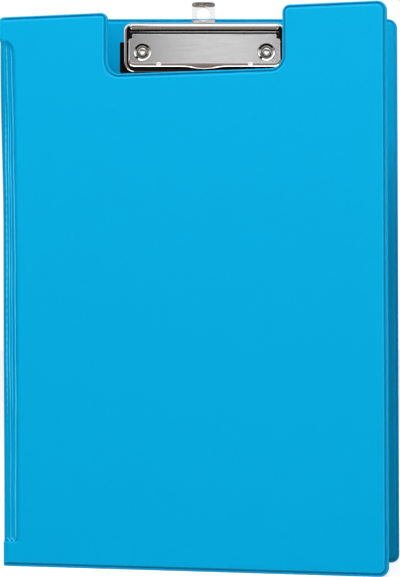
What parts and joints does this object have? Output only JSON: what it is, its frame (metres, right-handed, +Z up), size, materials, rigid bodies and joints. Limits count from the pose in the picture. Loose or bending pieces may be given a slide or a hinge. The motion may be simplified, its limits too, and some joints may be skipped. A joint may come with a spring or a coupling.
{
  "type": "folding clipboard",
  "caption": "Upright folding clipboard for A4 sheets: foil-covered back panel and windowed cover on a soft spine, with a flat wire-bail clip and a sliding hanger.",
  "frame": {"origin": "on the surface it stands on, under the middle of its box with the cover ajar", "axes": "+X from the spine to the open edge, -Y to the front, +Z up towards the clip"},
  "size_m": [0.23, 0.086, 0.3274],
  "materials": {
    "cyan_foil": "satin embossed PVC foil",
    "grey_board": "raw grey board",
    "nickel_plate": "bright nickel on pressed steel",
    "nickel_wire": "bright nickel on drawn steel wire",
    "clear_plastic": "clear moulded plastic"
  },
  "bodies": {
    "back": {"back_board": "grey_board", "back_front_foil": "cyan_foil", "back_rear_foil": "cyan_foil", "back_fold_foil": "cyan_foil", "counter_plate": "nickel_plate", "rivet_left": "nickel_plate", "rivet_right": "nickel_plate", "washer_left": "nickel_plate", "washer_right": "nickel_plate"},
    "spine": {"spine_outer_foil": "cyan_foil", "spine_inner_foil": "cyan_foil"},
    "cover": {"cover_board": "grey_board", "cover_outer_foil": "cyan_foil", "cover_inner_foil": "cyan_foil", "cover_fold_foil": "cyan_foil"},
    "clip": {"clip_plate": "nickel_plate"},
    "bail": {"bail": "nickel_wire"},
    "hanger": {"hanger": "clear_plastic"}
  },
  "joints": [
    {"name": "spine_fold", "type": "hinge", "parent": "back", "child": "spine", "pos_m": [-0.11295, 0.04009, 0.159], "axis": [0, 0, -1], "range_deg": [-11.85, 168.15], "deforming": ["back_fold_foil"]},
    {"name": "cover_fold", "type": "hinge", "parent": "spine", "child": "cover", "pos_m": [-0.1147, 0.03177, 0.159], "axis": [0, 0, -1], "range_deg": [-7.09, 172.91], "deforming": ["cover_fold_foil"]},
    {"name": "clip_tilt", "type": "hinge", "parent": "back", "child": "clip", "pos_m": [0.00265, 0.03759, 0.2979], "axis": [-1, 0, 0], "range_deg": [0, 4.2]},
    {"name": "bail_lift", "type": "hinge", "parent": "clip", "child": "bail", "pos_m": [0.00265, 0.03289, 0.3132], "axis": [-1, 0, 0], "range_deg": [0, 105]},
    {"name": "hanger_slide", "type": "slide", "parent": "back", "child": "hanger", "axis": [0, 0, 1], "range_m": [-0.008, 0]}
  ],
  "couplings": [
    {"joint": "clip_tilt", "follows": "bail_lift", "ratio": 0.04}
  ]
}
